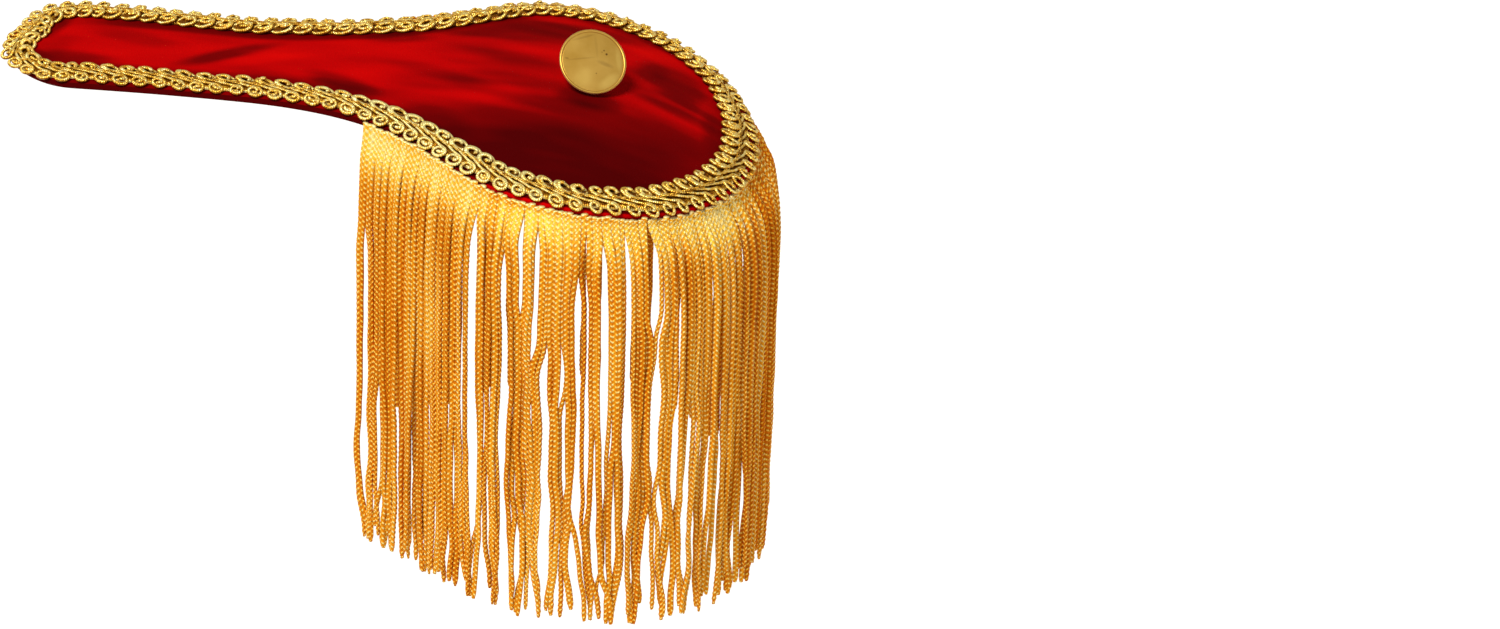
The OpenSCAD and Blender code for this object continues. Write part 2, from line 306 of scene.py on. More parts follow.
# Painted shade on the velvet, partly where the nap lies down and looks darker and partly where
# shade falls, and painted light where the last number is negative, partly where the nap stands up:
# the middle, half length and half width in millimetres, the turn in degrees and the strength. The
# row at 61, -6 is a painted shadow under the button.
nap_and_shade_strokes = np.array([
    [58, -40, 62, 34, 0, 0.62], [72, -8, 44, 17, -4, 0.22], [96, -22, 30, 30, 0, 0.18],
    [-96, -6, 16, 8, 62, 0.12], [-44, 0, 22, 5.0, 34, 0.38], [-72, 5, 20, 6, -12, 0.22],
    [-34, -2, 20, 4.0, 24, -0.12], [-9, -12, 16, 6, -24, 0.36], [-22, 5, 24, 6, 8, -0.10],
    [-86, -9, 16, 5, -4, 0.26], [-98, 8, 6, 12, -20, 0.44], [20, -29, 18, 9, -32, 0.18],
    [18, -7, 24, 8, -8, 0.30], [50, -12, 20, 8, 4, 0.14], [20, -4, 34, 6, -24, 0.12],
    [38, -2, 26, 8, 0, 0.26], [58, -31, 30, 8, 0, 0.12], [28, 23, 26, 13, 20, 0.14],
    [8, 6, 26, 5, -12, -0.08], [38, 11, 24, 9, -18, 0.16], [20, 28, 26, 8, 26, 0.12],
    [44, 37, 30, 9, -12, 0.28], [30, 20, 24, 6, -6, -0.10], [60, 42, 26, 7, 0, 0.32],
    [77, 37, 15, 8, -32, -0.10], [84, 24, 20, 14, -68, 0.36], [82, 8, 20, 10, -6, 0.24],
    [88, 3, 20, 4.5, -9, 0.20], [90, 10, 18, 3.5, -14, 0.16], [86, -4, 22, 4, -8, -0.02],
    [82, 16, 18, 3.5, -16, 0.12], [61, -6, 12, 8, 0, 0.34], [98, 6, 7, 22, 0, 0.34],
    [75, 22, 7, 12, -10, 0.16], [2, 19, 14, 6, 14, 0.30], [-14, -14, 30, 5, -8, 0.24],
    [-70, 6, 40, 14, 0, 0.12], [14, -14, 30, 6, -14, 0.08], [38, 24, 40, 20, 18, 0.08]])
# The nap also varies in slanting bands
bands = velvet.noise(place, 30.0, stretch=(0.5, 1.9, 1.0), turn=(0, 0, math.radians(-20)))
down = velvet.calc("MULTIPLY_ADD", bands, -0.95, 0.785)
# Each stroke adds its painted shade, and with a negative strength painted light
for x, y, length, width, angle, strength in nap_and_shade_strokes:
    stroke = velvet.spot(place, (x / 1000, y / 1000, 0), (length / 1000, width / 1000, 1),
                         (0, 0, math.radians(angle)))
    down = velvet.calc("MULTIPLY_ADD", stroke, strength, down)
# Each point's painted shade beside the gimp and on the rolled edge, and painted light, come in here
down = velvet.calc("ADD", down, velvet.tone())
pile = velvet.ramp(down, [(0.05, (0.70, 0.001, 0.0005)), (1.0, (0.070, 0.0, 0.0004)),
                          (0.36, (0.50, 0.0, 0.0005)), (0.66, (0.19, 0.0, 0.0004))])
fuzz = velvet.noise(place, 2600.0)
pile = velvet.mix(velvet.calc("MULTIPLY", fuzz, 0.35), pile, (0.03, 0.0, 0.0))
velvet.put(velvet.shader, {"Base Color": pile, "Roughness": 0.9, "Specular IOR Level": 0.02,
                           "Sheen Weight": 0.22, "Sheen Roughness": 0.35,
                           "Sheen Tint": (1.0, 0.01, 0.008, 1)})
velvet.bump(fuzz, 0.00025, 0.5)
# Painted shade on the velvet beside the gimp, more so at the back, and on the rolled edge, except
# at the front of the wide part, where the rolled edge gets painted light instead
from_edge = np.abs(inset[:, 1:]) * (1 - out_share)
at_x = inset[:, :1]
front_side = edge_s[:, None] < half_loop
back_side = edge_s[:, None] > half_loop
wide_part = smooth((at_x - 5) / 40)
back_gimp_shade = 0.46 * smooth((at_x + 95) / 24) * (1 - 0.4 * wide_part)
front_gimp_shade = 0.28
gimp_shade = np.where(back_side, back_gimp_shade, front_gimp_shade) * smooth((13.6 - from_edge) / 4)
roll_shade_and_light = 0.9 - 1.3 * wide_part * front_side
edge_shade_and_light = np.concatenate([gimp_shade, roll_shade_and_light * np.ones(len(roll_turn) + under_rows)], 1)
board = make_piece("velvet_board", board_rings[None], velvet.material, tone=edge_shade_and_light[None],
                   ends="joined", round_shut=False, merge=True)
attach(board, "root")
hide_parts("board")

# The gimp braid. Scroll gimp of a wrapped metal-thread cord: each length of cord is curled into a
# scroll on the inner side, runs aslant in the plait and ends in a ringlet on the outer side. A
# thin two-ply cord binds the plait, and the whole is sewn down on the velvet round the board.
gimp_inset = -0.1
gimp_w = 9.8
ringlets = 100
ringlet_pitch = loop_len / ringlets
chance = np.random.default_rng(11)


def varied(size, spread):
    """Numbers for like things that differ: even chance within spread of zero."""
    return chance.uniform(-spread, spread, (size, 1))


# How much further out the gimp lies round the tongue's tip: place along the edge, the front side
# positive, and shift
tip_shift = np.array([[-40, 0.0], [-28, 2.0], [-20, 2.7], [-14, 1.3], [-10, -0.1], [-6, -1.3],
                      [-2, -1.6], [2, -0.6], [6, 0.4], [10, 1.6], [14, 3.1], [20, 2.8],
                      [28, 1.9], [36, 0.5], [44, 0.0]])


# How far the gimp is drawn out over the edge, at the front of the wide end and more so round the
# end: width, where along the board it starts and over how far, and how far past the middle of
# the end it stops and over how far
drawn_out = ((1.05, 79, 60, 20, 60), (1.10, 177, 26, 34, 30))


def spread_out(s, across):
    """Places across the gimp, with the widths that it is drawn out by, its shift at the tongue's
    tip, and a little wander all the way."""
    x = edge(s)[..., 0] + pin_x
    past_end = np.mod(s, loop_len) - half_loop
    past = sum(width * smooth((x - start) / run) * smooth((stop - past_end) / fade)
               for width, start, run, stop, fade in drawn_out)
    from_tip = np.mod(s + half_loop, loop_len) - half_loop
    once_round = 2 * np.pi * s / loop_len
    shift = (np.interp(from_tip, *tip_shift.T) + 0.22 * np.sin(9 * once_round)
             + 0.16 * np.sin(23 * once_round + 1))
    return across - shift - past * (1 - across / (gimp_inset + gimp_w))


wire_r = 0.54
scroll_t = np.linspace(0, 1, 36)[None]
shrink_from = 0.45


def scroll(radius, mid, side, wind, eye, oval, heights, tilt):
    """A curled end of cord from its joint with the plait to its eye: distance along, across and
    up. Its radius shrinks to the share eye from shrink_from on, over wind turns. oval is how
    much longer than wide it is. heights are those of the side that meets the plait, of the far
    side and of the eye. It overlaps the next one as it tilts."""
    shrink = smooth((scroll_t - shrink_from) / (1 - shrink_from))
    r = radius * (1 - shrink * (1 - eye))
    angle = np.pi / 2 - 2 * np.pi * wind * scroll_t
    reach = r * np.sin(angle)
    sideways = oval * r * np.cos(angle)
    joint, far, core = heights
    up = (joint + far) / 2 + (joint - far) / 2 * reach / radius
    return sideways, mid + side * reach, up * (1 - shrink) + core * shrink - side * tilt * sideways


# Ringlets and scrolls, each a little different in size, winding, height and tilt
outer_r = 1.66 * (1 + varied(ringlets, 0.10))
inner_r = 1.94 * (1 + varied(ringlets, 0.08))
# How far in from the gimp's edges their middles lie
middle_in = wire_r + 1.64
outer_mid = gimp_inset + middle_in
inner_mid = gimp_inset + gimp_w - middle_in
out_a, out_b, out_h = scroll(outer_r, outer_mid, 1, 1.55 + varied(ringlets, 0.25), 0.30, 1.08,
                             (1.50, 1.05, 1.80 + varied(ringlets, 0.2)), 0.16 + varied(ringlets, 0.14))
in_a, in_b, in_h = scroll(inner_r, inner_mid, -1, 1.8 + varied(ringlets, 0.3), 0.34, 1.34,
                          (1.60, 0.72, 1.90 + varied(ringlets, 0.25)), 0.24 + varied(ringlets, 0.10))
# The run in the plait, between the scroll and the ringlet of a cord
reach = 0.85 * ringlet_pitch
u = np.linspace(0, 1, 18)[None, 1:-1]
run_a = np.tile(-reach + 2 * reach * u, (ringlets, 1))
run_b = in_b[:, :1] + (out_b[:, :1] - in_b[:, :1]) * smooth(u)
run_rise = 0.12 + varied(ringlets, 0.1)
run_h = in_h[:, :1] + (out_h[:, :1] - in_h[:, :1]) * u + run_rise * np.sin(np.pi * u)
gimp_a = np.concatenate([-in_a[:, ::-1] - reach, run_a, out_a + reach], 1)
gimp_b = np.concatenate([in_b[:, ::-1], run_b, out_b], 1)
gimp_h = np.concatenate([in_h[:, ::-1], run_h, out_h], 1)
# Its bends are eased
for part in (gimp_a, gimp_b, gimp_h):
    part[:, 1:-1] = 0.25 * part[:, :-2] + 0.5 * part[:, 1:-1] + 0.25 * part[:, 2:]
gimp_s = (np.arange(ringlets)[:, None] + 0.5) * ringlet_pitch + gimp_a + varied(ringlets, 0.25)
gimp_path = raised(gimp_s, spread_out(gimp_s, gimp_b), gimp_h)


def tube(path, lift, half_width, half_height, sides):
    """Rings of points round paths: half_height along lift, made square to the path, and
    half_width across it. lift is one vector for each place of the paths."""
    ahead = np.gradient(path, axis=1)
    ahead /= np.linalg.norm(ahead, axis=-1, keepdims=True)
    up = lift - (lift * ahead).sum(-1, keepdims=True) * ahead
    up /= np.linalg.norm(up, axis=-1, keepdims=True)
    across = np.cross(ahead, up)
    angle = 2 * np.pi * (np.arange(sides) + 0.5) / sides
    return (path[:, :, None] + half_height * np.cos(angle)[:, None] * up[:, :, None]
            + half_width * np.sin(angle)[:, None] * across[:, :, None])


def run_of(path):
    """The length of each path up to each of its points."""
    return np.cumsum(np.linalg.norm(np.diff(path, axis=1, prepend=path[:, :1]), axis=-1), 1)


# The cord is pressed thinner in the plait, a little fuller in the inner scroll, and narrow where
# it is cut off
cord_r = wire_r - 0.12 * np.exp(-((gimp_a / (0.8 * reach)) ** 4))
cord_r = cord_r + 0.07 * smooth(-gimp_a / reach - 0.2)
cord_r[:, [0, -1]] *= 0.6
cord_r = cord_r[:, :, None, None]
gimp_rings = tube(gimp_path, board_normal(gimp_path[..., :2]), cord_r, cord_r, 6)

gold_thread = Finish("antique_gold_thread")
wrap = gold_thread.add("SeparateXYZ", {0: gold_thread.add("UVMap", uv_map="wrap").outputs[0]})
# The turns of the wrapping thread round the cord
turns_per_mm = 1.7
turns = gold_thread.calc("MULTIPLY_ADD", wrap.outputs["Y"], turns_per_mm, wrap.outputs["X"])
ridge = gold_thread.calc("SINE", gold_thread.calc("MULTIPLY", turns, 2 * math.pi))
ridge = gold_thread.calc("MULTIPLY_ADD", ridge, 0.5, 0.5)
place = gold_thread.add("TexCoord").outputs["Object"]
glitter = gold_thread.noise(place, 800.0, 3.0)
# The thread gets painted light on top and painted shade down its flanks
flank_shade = gold_thread.calc("MULTIPLY_ADD", wrap.outputs["X"], 2 * math.pi, math.pi / 6)
flank_shade = gold_thread.add("MapRange", {0: gold_thread.calc("COSINE", flank_shade), 1: -0.35, 2: 0.65,
                                     3: -0.36, 4: 0.04})
shine = gold_thread.calc("ADD", glitter, flank_shade.outputs[0])
shine = gold_thread.calc("MULTIPLY_ADD", ridge, 0.14, shine)
# Less each point's number, which brightens the front of the braid with painted light
shine = gold_thread.calc("SUBTRACT", shine, gold_thread.tone())
thread = gold_thread.ramp(shine, [(0.28, (0.19, 0.056, 0.002)), (0.75, (1.0, 0.87, 0.355)),
                                  (0.42, (0.54, 0.228, 0.006)), (0.58, (0.94, 0.57, 0.070))])
gold_thread.put(gold_thread.shader, {"Base Color": thread, "Metallic": 0.5, "Roughness": 0.24,
                                     "Specular Tint": (1.0, 0.85, 0.45, 1)})
gold_thread.bump(gold_thread.calc("MULTIPLY_ADD", glitter, 1.5, ridge), 0.00016, 0.8)
# Painted light: it is brightest at the front, three quarters of the way from the neck to the
# widest place
in_plait = gimp_path[:, 50:51]
plait_x, at_front = in_plait[..., :1], in_plait[..., 1:2] < 0
front_light = -0.01 * smooth((plait_x - 70) / 25) - 0.16 * at_front * np.exp(-((plait_x - 28) / 36) ** 2)
gimp = make_piece("gimp_ringlets", gimp_rings, gold_thread.material,
                  lengths=run_of(gimp_path), tone=front_light)

# The binding on the plait, two thin cords laid round each other
plies, ply_stations = 2, 1120
ply_s = np.tile(np.arange(ply_stations) * loop_len / ply_stations, (plies, 1))
ply_turn = 2 * np.pi * (ply_s / ringlet_pitch + np.arange(plies)[:, None] / plies)
ply_b = spread_out(ply_s, 5.15 + 0.30 * np.cos(ply_turn))
ply_path = raised(ply_s, ply_b, 1.95 + 0.22 * np.sin(ply_turn))
ply_r = np.full((plies, ply_stations, 1, 1), 0.25)
binding = make_piece("gimp_binding", tube(ply_path, board_normal(ply_path[..., :2]), ply_r, ply_r, 5),
                     gold_thread.material, lengths=run_of(ply_path), tone=0.10, ends="joined")

# The foundation under the plait, a narrow strip of close-set threads that the cords are sewn to
strip_b = spread_out(edge_s[:, None], np.array([2.5, 3.1, 7.9, 8.6, 8.6, 2.5]))
strip_h = np.array([0.5, 1.05, 1.05, 0.5, 0.2, 0.2])
strip = raised(edge_s[:, None], strip_b, strip_h)
foundation = make_piece("gimp_foundation", strip[None], gold_thread.material,
                        lengths=edge_s[None], tone=-0.04, ends="joined")
for piece in (gimp, binding, foundation):
    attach(piece, "root")
    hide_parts("gimp_braid")

# The fringe. Chainette fringe of golden yellow rayon: soft knitted cords, one stitch wide on each
# side. They are sewn on the face of the board's edge, over a heading tape that lies under it,
# from the front of the neck round the wide end to the back of the neck.
fringe_len = 130.0
fringe_x = 109.7
fringe_from = np.interp(fringe_x, half_outline[:, 0], half_run)
fringe_run = loop_len - 2 * fringe_from
heading_t = 1.2
heading_w = 9.0
cords = 212
stitch = 1.7
rings_a_stitch = 4
cord_rings = rings_a_stitch * math.ceil(fringe_len / stitch) + 1
cord_sides = 6
# How a cord falls: out from where it is sewn on as a share of the bow, down from the board's
# underside as a share of its length. Its rings are spaced evenly for a bow of mean_bow.
sewn_out = 0.95
mean_bow = 5.5
fall = np.array([[0.00, -0.0105], [0.00, 0.0040], [0.26, 0.030], [0.68, 0.075], [0.96, 0.180],
                 [1.00, 0.320], [0.98, 0.650], [0.94, 1.000]])
# Where the cords part: place as a share of the fringe's run, from and to as shares of the
# length, and width in millimetres. The last ten rows are at the back, past back_from.
back_from = 0.6
partings = np.array([
    [0.0075, 0.24, 0.85, 1.5], [0.0094, 0.72, 0.95, 1.5], [0.0244, 0.61, 0.93, 2.0],
    [0.1322, 0.61, 0.90, 1.0], [0.1447, 0.08, 0.87, 1.7], [0.1761, 0.11, 1.20, 1.6],
    [0.1861, 0.03, 0.26, 1.6], [0.1867, 0.51, 0.75, 1.3], [0.1892, 0.79, 1.20, 0.8],
    [0.2011, 0.05, 0.38, 1.8], [0.1992, 0.44, 0.64, 1.0], [0.1980, 0.67, 0.82, 1.0],
    [0.2105, 0.33, 1.20, 1.8], [0.2206, 0.34, 0.49, 0.8], [0.2262, 0.44, 0.70, 1.3],
    [0.2368, 0.15, 0.75, 1.3], [0.2362, 0.79, 1.20, 2.0], [0.2444, 0.03, 0.77, 0.9],
    [0.2556, 0.06, 0.93, 2.2], [0.2657, 0.56, 0.90, 1.0], [0.2763, 0.03, 0.79, 0.8],
    [0.3026, 0.03, 0.26, 2.8], [0.3045, 0.36, 0.65, 1.7], [0.3095, 0.67, 0.88, 1.4],
    [0.3014, 0.72, 1.20, 2.2], [0.3227, 0.46, 0.75, 1.5], [0.3195, 0.80, 0.95, 1.5],
    [0.3383, 0.46, 0.95, 1.6], [0.3515, 0.54, 0.85, 1.0], [0.3678, 0.57, 1.20, 1.6],
    [0.9165, 0.50, 1.20, 2.9], [0.8803, 0.58, 1.20, 1.9], [0.8637, 0.50, 0.84, 1.8],
    [0.8425, 0.50, 1.20, 2.0], [0.8240, 0.50, 1.20, 2.0], [0.8057, 0.66, 1.20, 1.4],
    [0.7980, 0.52, 1.20, 1.3], [0.7857, 0.56, 1.20, 2.3], [0.7635, 0.52, 1.20, 1.6],
    [0.7320, 0.48, 1.20, 2.4]])

chance = np.random.default_rng(7)
# They are sewn on further apart round the wide end
from_end = np.arange(cords)[:, None] / cords - 0.5
gap = 1 + 0.5 * np.exp(-(from_end / 0.12) ** 2)
gap *= fringe_run / gap.sum()
place_s = fringe_from + np.cumsum(gap, 0) + gap * (varied(cords, 0.1225) - 0.5)
share = (place_s - fringe_from) / fringe_run
end_share = np.sin(np.pi * share) ** 2


def eased(rows, steps):
    """A smooth curve through all the rows, taken again at even steps of its own length."""
    ends = np.vstack([2 * rows[0] - rows[1], rows, 2 * rows[-1] - rows[-2]])
    t = np.linspace(0, len(rows) - 1, 600)
    k = np.minimum(t.astype(int), len(rows) - 2)
    t = (t - k)[:, None]
    a, b, c, d = ends[k], ends[k + 1], ends[k + 2], ends[k + 3]
    line = 0.5 * (2 * b + (c - a) * t + (2 * a - 5 * b + 4 * c - d) * t ** 2
                  + (3 * b - a - 3 * c + d) * t ** 3)
    outward, downward = np.diff(line[:, 0]) * mean_bow, np.diff(line[:, 1]) * fringe_len
    run = np.r_[0, np.cumsum(np.hypot(outward, downward))]
    even = np.linspace(0, run[-1], steps)
    return np.interp(even, run, line[:, 0]), np.interp(even, run, line[:, 1])


out_part, drop_part = (part[None] for part in eased(fall, cord_rings))
t = np.linspace(0, 1, cord_rings)[None]


def sway(size, waves):
    """A gentle wander for each cord, growing down its length: two slow sines of chance phase."""
    phase = 2 * np.pi * chance.random((cords, 2))
    speed = waves * (0.7 + 0.6 * chance.random((cords, 2)))
    wave = (np.sin(2 * np.pi * (speed[:, :1] * t + phase[:, :1]))
            + 0.6 * np.sin(4 * np.pi * (speed[:, 1:] * t + phase[:, 1:])))
    return size * t ** 0.8 * (wave - wave[:, :1])


# Sideways: apart at each parting, a lean at the fringe's two ends, a few cords that stray across
# others, and curled lower ends
at_back = smooth((share - 0.58) / 0.08)
from_ends = np.minimum(share, 1 - share)
calm = (0.45 + 0.55 * smooth((from_ends - 0.08) / 0.08)) * (1 - 0.55 * at_back)
sideways = sway(0.36, 1.5) * calm + sway(0.10, 5.0)
for at, top, bottom, width in partings:
    away = (share - at) * fringe_run
    # Those at the back open more slowly and wider
    behind = at > back_from
    opened = smooth((drop_part - top - 0.05) / (0.30 if behind else 0.10) + 1)
    closed = smooth((drop_part - bottom + 0.06) / 0.08)
    apart = width / 2 + (1.3 if behind else 0.2)
    sideways = sideways + np.sign(away) * apart * np.exp(-(away / 4.2) ** 2) * opened * (1 - closed)
lean_out = 2.6 * smooth(1 - share / 0.22) - 2.2 * smooth((share - 0.78) / 0.22)
stray = (chance.random((cords, 1)) < 0.22) * varied(cords, 3.8) * (1 - 0.9 * at_back)
curl = varied(cords, 2.2) * smooth((t - 0.80) / 0.20) ** 2 * (1 - at_back)
sideways = sideways - lean_out * t ** 1.3 + stray * smooth((t - 0.35) / 0.65) ** 1.5 + curl
# Outwards: two layers, a slow wander, and strays that pass in front
round_end = smooth((share - 0.36) / 0.08) * (1 - smooth((share - 0.62) / 0.08))
layer = np.array([-0.6, 0.5, -0.1, 0.7])[np.arange(cords) % 4][:, None]
layer = layer * (0.2 + 0.8 * smooth(t / 0.12)) * (0.75 + 0.75 * round_end)
wander = sway(0.35, 1.1) + sway(0.12, 4.5) + layer + np.abs(stray) * 0.35 * smooth((t - 0.3) / 0.4)
bow = 4.2 + 3.2 * end_share + varied(cords, 0.3)
# The cords' lower ends are uneven, and longer at the fringe's two ends
long = fringe_len - 7.0 * chance.random((cords, 1)) ** 1.7 + 5.5 * (1 - end_share) ** 3
cord_s = place_s + sideways
rim = edge(cord_s)
out = sewn_out + (bow - sewn_out) * out_part + wander * smooth(t / 0.05)
flat = rim - out[..., None] * inward(cord_s)
# The sewn ends reach a little higher at the fringe's two ends
top_up = 0.8 * (1 - smooth((from_ends - 0.12) / 0.06)) + varied(cords, 0.45)
under = top_z(edge(place_s), board_t) - sewn_gap + top_up * (1 - smooth(t / 0.03))
cord_path = np.concatenate([flat, (under - long * drop_part)[..., None]], -1)
outwards = np.concatenate([-inward(cord_s), np.full((cords, cord_rings, 1), 0.25)], -1)
# Below the heading each cord is turned about its own length, and turns slowly on its way down. It
# starts lower where the cords are packed close, at the front of the neck
twist = np.radians(varied(cords, 55) + varied(cords, 80) * t)[..., None]
packed = 1 - smooth((share - 0.15) / 0.15)
twist = twist * smooth((t - 0.03 * packed) / (0.10 + 0.20 * packed))[..., None]
sideward = np.concatenate([along(cord_s), np.zeros((cords, cord_rings, 1))], -1)
outwards = outwards * np.cos(twist) + sideward * np.sin(twist)
# The section is 1.1 mm thick, and 2.0 mm wide at the top and 1.8 mm lower down. Of a stitch's
# four rings the first and the third are the crests of its loops, which lie by turns at the left
# and at the right of either face
angle = 2 * np.pi * (np.arange(cord_sides) + 0.5) / cord_sides
stitches = (np.arange(cord_rings) + chance.integers(0, rings_a_stitch, (cords, 1))) / rings_a_stitch
bulge = 1 + 0.15 * np.sin(2 * angle) * np.cos(2 * np.pi * stitches[..., None])
cut = 1 - 0.35 * smooth((t - 0.985) / 0.015)
size = (0.93 + 0.14 * chance.random((cords, 1)) + 0.02 * round_end) * cut
girth = (size[..., None] * bulge)[..., None]
half_width = (1.01 - 0.10 * smooth(t / 0.70))[..., None, None]
half_height = 0.65
cord_ring = tube(cord_path, outwards, half_width * girth, half_height * girth, cord_sides)

rayon = Finish("golden_rayon")
wrap = rayon.add("SeparateXYZ", {0: rayon.add("UVMap", uv_map="wrap").outputs[0]})
around, down = wrap.outputs["X"], wrap.outputs["Y"]
turn = rayon.calc("MULTIPLY_ADD", around, 2 * math.pi, math.pi / cord_sides)
side = rayon.calc("SINE", turn)
side = rayon.calc("MULTIPLY", side, side)
# Each loop is an oval that slants down towards the cord's side
beat = rayon.calc("MULTIPLY", rayon.calc("MULTIPLY_ADD", side, -0.22, down), 2 * math.pi)
loop = rayon.calc("SINE", rayon.calc("MULTIPLY", turn, 2.0))
loop = rayon.calc("MULTIPLY", rayon.calc("COSINE", beat), loop)
crest = rayon.step(loop, -0.25, 0.8)
threads = rayon.calc("MULTIPLY_ADD", side, 12.0, rayon.calc("MULTIPLY", down, 8 * math.pi))
threads = rayon.calc("SINE", threads)
place = rayon.add("TexCoord").outputs["Object"]
patch = rayon.noise(place, 110.0, 3.0, stretch=(1, 1, 0.22))
# The colour follows the cord's own tone, with the painted light and shade that it carries,
# patches along it, and painted highlights on the crests of the loops
shade = rayon.calc("MULTIPLY_ADD", rayon.tone(), 0.36, -0.20)
shade = rayon.calc("MULTIPLY_ADD", patch, 0.62, shade)
# Painted highlights on the crests of the loops
shade = rayon.calc("MULTIPLY_ADD", crest, 0.68, shade)
silk = rayon.ramp(shade, [(0.10, (0.60, 0.135, 0.002)), (1.0, (1.0, 0.83, 0.35)),
                          (0.34, (0.82, 0.285, 0.008)), (0.68, (1.0, 0.58, 0.055))])
rayon.put(rayon.shader, {"Base Color": silk, "Metallic": 0.3, "Roughness": 0.36,
                         "Specular IOR Level": 0.02, "Specular Tint": (1.0, 0.80, 0.36, 1)})
rayon.bump(rayon.calc("MULTIPLY_ADD", threads, 0.12, crest), 0.00030, 1.0)

# The cords differ in tone at random, get painted light at the top along the front, and painted
# shade from the wide end on and right under the board
# Painted light at the top of the cords along the front
top_light = 1 - 0.42 * smooth((share - 0.1) / 0.1) + 0.40 * smooth((share - 0.28) / 0.08)
top_light = top_light * (1 - smooth((t - 0.03) / 0.12)) * (1 - smooth((share - 0.40) / 0.07))
tone_and_shade = (0.55 + 0.5 * round_end) * chance.random((cords, 1)) + 1.26 * top_light
# Painted shade from the wide end on
tone_and_shade = tone_and_shade - 0.42 * smooth((share - 0.40) / 0.08)
# More painted shade round the end, and a painted shadow at the very top, under the board
tone_and_shade = tone_and_shade - 0.22 * round_end - 0.4 * (1 - smooth(t / 0.02))
parts = ("front", "end_front", "end", "end_back", "back")
for k, part in enumerate(parts):
    group = slice(k * cords // len(parts), (k + 1) * cords // len(parts))
    piece = make_piece("fringe_cords_" + part, cord_ring[group], rayon.material,
                       lengths=stitches[group], tone=tone_and_shade[group, :, None])
    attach(piece, "root")
    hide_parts("fringe")

# The heading tape under the board's edge
tape_s = fringe_from + np.linspace(0, 1, 181) * fringe_run
tape_b = np.array([-0.3, heading_w, heading_w, -0.3])
tape_h = -sewn_gap - np.array([0, 0, heading_t, heading_t])
tape = raised(tape_s[:, None], tape_b, tape_h, board_t)
heading = make_piece("fringe_heading", tape[None], rayon.material, lengths=tape_s[None] / stitch,
                     tone=0.2)
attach(heading, "root")
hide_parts("fringe")

# The button. A stamped brass button with a shallow dome and a rolled rim, on a shank through the
# velvet. It leans back on its shank, so its face looks up, to the front and to the wide end.
button_r = 9.8
button_t = 1.8
rim_r = 0.45
dome_h = 0.25
shank_d = 3.0
rim_over_velvet = 1.4
lean, swing = math.radians(46), math.radians(24)
axis = np.array([math.sin(swing) * math.cos(lean), -math.cos(swing) * math.cos(lean), math.sin(lean)])
button_xy = np.array([61.0, 2.2])
middle = np.array([*button_xy, top_z(button_xy) + button_r * math.cos(lean) + rim_over_velvet])


def turned(profile, centre, axis, steps):
    """A profile of radius and height turned about an axis through centre."""
    side = np.cross(axis, [0.0, 0.0, 1.0])
    side /= np.linalg.norm(side)
    up = np.cross(side, axis)
    angle = 2 * np.pi * np.arange(steps)[:, None] / steps
    spoke = np.cos(angle) * side + np.sin(angle) * up
    return centre + profile[:, 1, None, None] * axis + profile[:, 0, None, None] * spoke


# The shell from the middle of its back over the rim to the middle of its face, which lies a
# little below the rim. The profile ends at pole_r, where its points are capped.
pole_r = 0.02
face_in = 0.30
back_rows = 8
face_r = button_r - rim_r
dome_ball = (face_r ** 2 + dome_h ** 2) / (2 * dome_h)
back_r = np.linspace(pole_r, face_r, back_rows)
rim_turn = np.radians(np.linspace(-100, 160, 22))
face = np.linspace(face_r - face_in, pole_r, 40)
profile = np.vstack([
    np.stack([back_r, np.full(back_rows, -button_t)], 1),
    np.stack([face_r + rim_r * np.cos(rim_turn), -rim_r + rim_r * np.sin(rim_turn)], 1),
    np.stack([face, dome_h - face_in - dome_ball + np.sqrt(dome_ball ** 2 - face ** 2)], 1)])
shell_rings = turned(profile, middle, axis, 128)
back = middle - axis * (button_t + rim_r)
foot_xy = back[:2] + np.array([-0.6, 2.4])
foot_lift = 0.2 * shank_d
foot = np.array([*foot_xy, top_z(foot_xy) + sewn_gap + foot_lift])
stem = back - foot
stem_len = np.linalg.norm(stem)
shank_r = shank_d / 2
shank_profile = np.array([[pole_r, 0], [shank_r - 0.15, 0], [shank_r, 0.2], [shank_r, stem_len - 0.3],
                          [shank_d, stem_len - 0.1], [shank_d, stem_len + 1.0]])
shank_rings = turned(shank_profile, foot, stem / stem_len, 32)

brass = Finish("button_brass")
place = brass.add("TexCoord").outputs["Object"]
cloud = brass.noise(place, 140.0, 3.0)
metal = brass.ramp(cloud, [(0.32, (0.52, 0.292, 0.046)), (0.72, (0.60, 0.362, 0.076))])
# Creases, tarnish specks and painted highlights on the face: right, up, half length and half width
# in millimetres, turn in degrees, strength, and 1 where it is a painted highlight
marks = [(-3.4, 1.3, 6.0, 0.40, -2, 0.18, 0), (3.4, -1.3, 3.4, 0.90, -30, 0.26, 0),
         (1.9, 4.2, 5.0, 0.60, 84, 0.10, 0), (-1.0, 7.6, 5.0, 0.5, 8, 0.22, 0),
         (3.9, 2.8, 0.36, 0.36, 0, 0.8, 0), (4.4, 1.6, 0.48, 0.48, 0, 1.0, 0),
         (3.2, 2.4, 0.26, 0.26, 0, 0.5, 0), (0.2, -3.7, 0.32, 0.32, 0, 0.6, 0),
         (-7.4, 2.0, 0.9, 0.40, -20, 0.4, 0), (-3.8, -4.6, 5.0, 3.4, 40, 0.22, 1),
         (3.4, -6.6, 5.0, 2.2, 28, 0.30, 1), (7.6, -0.6, 5.0, 1.2, 85, 0.30, 1)]
right = np.cross([0.0, 0.0, 1.0], axis)
right /= np.linalg.norm(right)
face_up = np.cross(axis, right)
for x, y, length, width, angle, strength, is_highlight in marks:
    c, k = math.cos(math.radians(angle)), math.sin(math.radians(angle))
    mark_turn = Matrix(np.stack([c * right + k * face_up, c * face_up - k * right, axis], 1).tolist())
    mark = brass.spot(place, tuple((middle + x * right + y * face_up) / 1000),
                      (length / 1000, width / 1000, 0.004), mark_turn.to_euler())
    # A painted highlight takes a pale colour, a crease or speck a dark one
    metal = brass.mix(brass.calc("MULTIPLY", mark, strength), metal,
                      (0.86, 0.62, 0.16) if is_highlight else (0.12, 0.055, 0.012))
